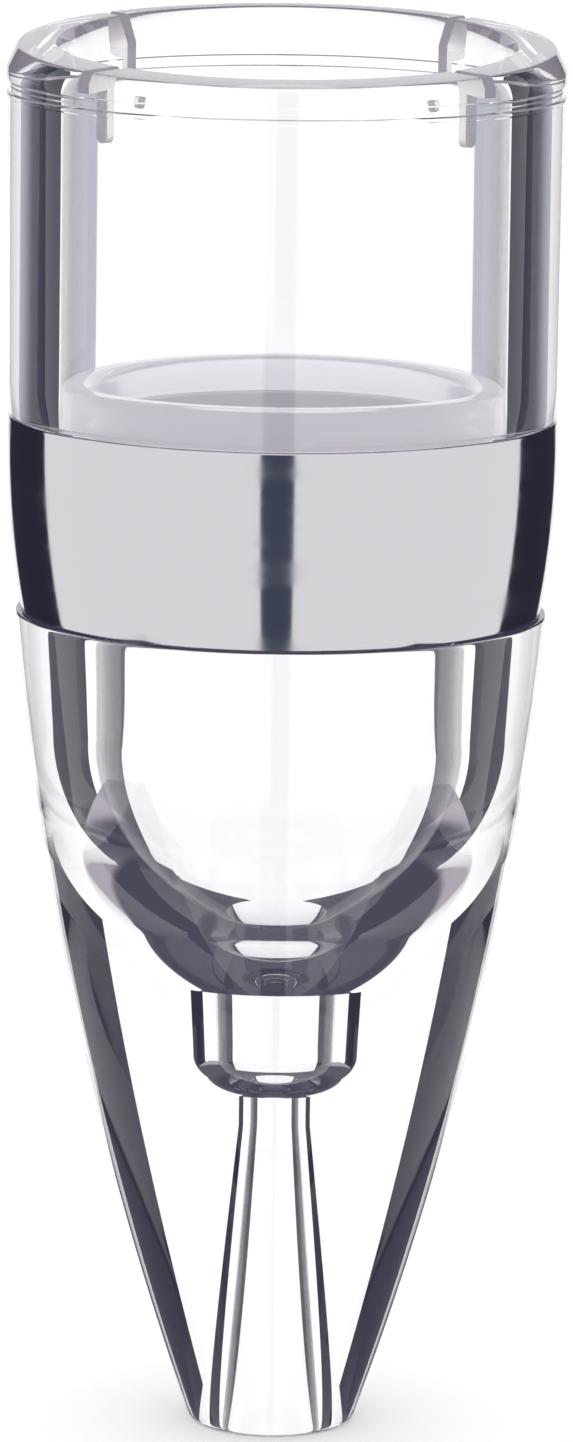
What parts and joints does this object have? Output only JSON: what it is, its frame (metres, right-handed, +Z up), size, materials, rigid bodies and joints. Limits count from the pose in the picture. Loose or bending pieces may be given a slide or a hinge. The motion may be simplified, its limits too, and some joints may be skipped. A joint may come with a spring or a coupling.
{
  "type": "wine aerator",
  "caption": "Hand-held wine aerator: a clear thick-walled cup and a polished waist band over a clear tapering body with funnel, mixing chamber, narrow throat and outlet tube.",
  "frame": {"origin": "on the axis of the bore, in the plane of the outlet tip that the aerator stands on", "axes": "+Z up along the bore from the outlet to the cup, -Y towards the low side of the slanted rim (the front in the picture), +X to the right seen from the front"},
  "size_m": [0.055, 0.055, 0.1408],
  "materials": {
    "clear_cup": "clear polished acrylic",
    "sleeve": "translucent grey, matt",
    "band": "polished stainless steel",
    "clear_body": "clear polished acrylic"
  },
  "bodies": {
    "root": {"upper_cup": "clear_cup", "joint_sleeve": "sleeve", "metal_band": "band", "lower_body": "clear_body"}
  },
  "joints": []
}
